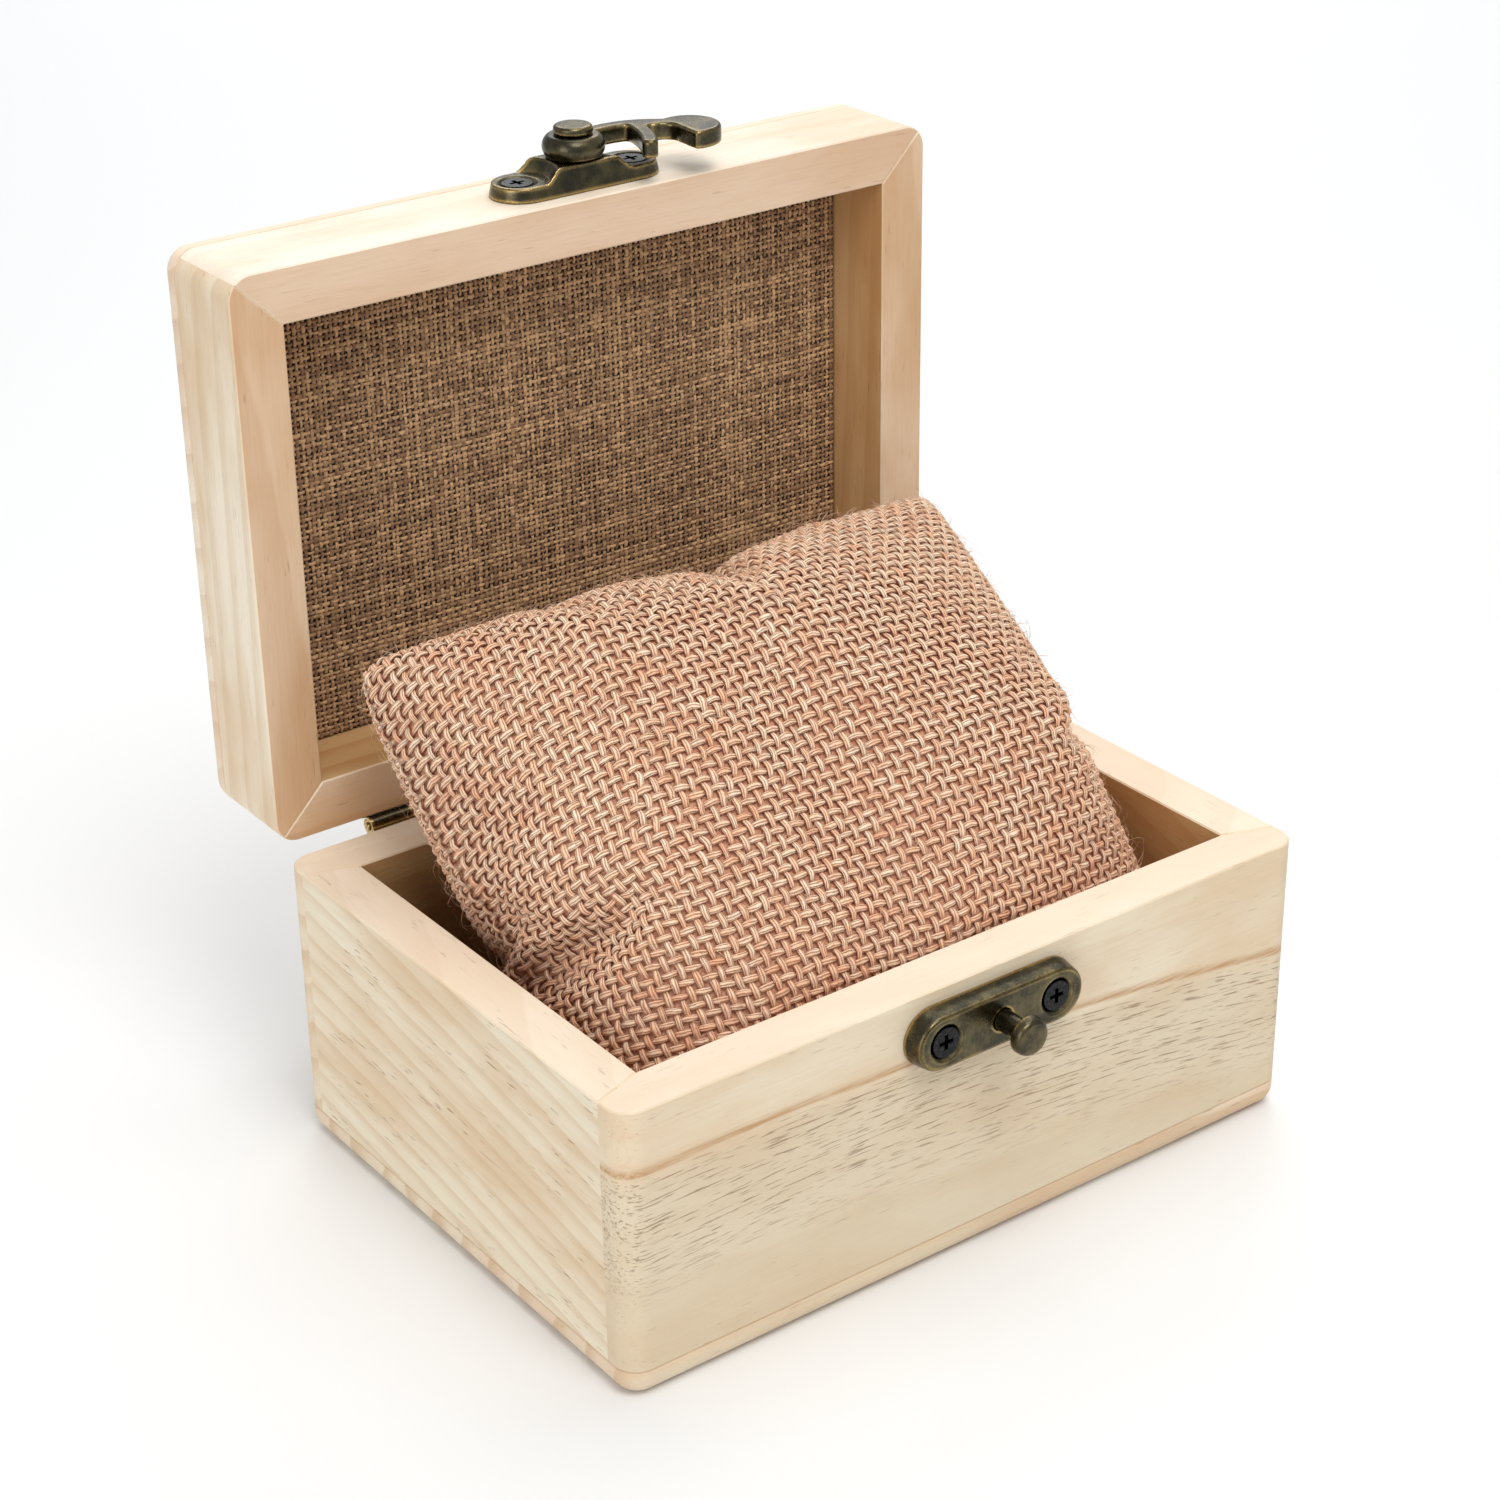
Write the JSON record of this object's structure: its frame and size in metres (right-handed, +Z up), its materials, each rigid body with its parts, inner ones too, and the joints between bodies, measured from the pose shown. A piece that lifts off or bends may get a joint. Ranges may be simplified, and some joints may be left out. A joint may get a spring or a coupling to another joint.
{
  "type": "watch box",
  "caption": "Small pale wooden box with a hinged lid standing open, a fabric-lined lid, a swing-hook latch and a woven watch pillow.",
  "frame": {"origin": "centre of the base's underside", "axes": "+Z up, +X to the right across the front, -Y towards the front where the latch is"},
  "size_m": [0.112, 0.109, 0.1317],
  "materials": {
    "base_wood": "bare sanded pale softwood",
    "lid_wood": "bare sanded pale softwood",
    "liner_card": "plain grey-brown card",
    "liner_linen": "plain-weave brown linen",
    "antique_brass": "dark antique bronze with brighter worn edges",
    "black_screw": "blackened steel",
    "pillow_jute": "coarse plain-weave jute",
    "pillow_wadding": "polyester wadding"
  },
  "bodies": {
    "base": {"base_front_board": "base_wood", "base_back_board": "base_wood", "base_left_board": "base_wood", "base_right_board": "base_wood", "base_bottom_panel": "base_wood", "left_hinge_base_leaf": "antique_brass", "left_hinge_pin": "antique_brass", "left_hinge_base_screws": "black_screw", "right_hinge_base_leaf": "antique_brass", "right_hinge_pin": "antique_brass", "right_hinge_base_screws": "black_screw", "catch_plate": "antique_brass", "catch_plate_screws": "black_screw", "catch_stud": "antique_brass"},
    "lid": {"lid_front_rail": "lid_wood", "lid_back_rail": "lid_wood", "lid_left_rail": "lid_wood", "lid_right_rail": "lid_wood", "lid_top_panel": "lid_wood", "lid_liner_board": "liner_card", "lid_liner_fabric": "liner_linen", "left_hinge_lid_leaf": "antique_brass", "left_hinge_lid_screws": "black_screw", "right_hinge_lid_leaf": "antique_brass", "right_hinge_lid_screws": "black_screw", "hook_plate": "antique_brass", "hook_plate_screws": "black_screw", "hook_rivet": "antique_brass"},
    "hook": {"hook_arm": "antique_brass"},
    "pillow": {"pillow_cover": "pillow_jute", "pillow_filling": "pillow_wadding"}
  },
  "joints": [
    {"name": "lid_hinge", "type": "hinge", "parent": "base", "child": "lid", "pos_m": [0, 0.0415, 0.042], "axis": [-1, 0, 0], "range_deg": [-90, 0], "deforming": ["pillow_cover", "pillow_filling"]},
    {"name": "hook_swing", "type": "hinge", "parent": "lid", "child": "hook", "pos_m": [0.0006, 0.0483, 0.1262], "axis": [0, 0, 1], "range_deg": [-74, 90]},
    {"name": "pillow_lift", "type": "slide", "parent": "base", "child": "pillow", "axis": [0, 0, 1], "range_m": [0, 0.08]}
  ]
}
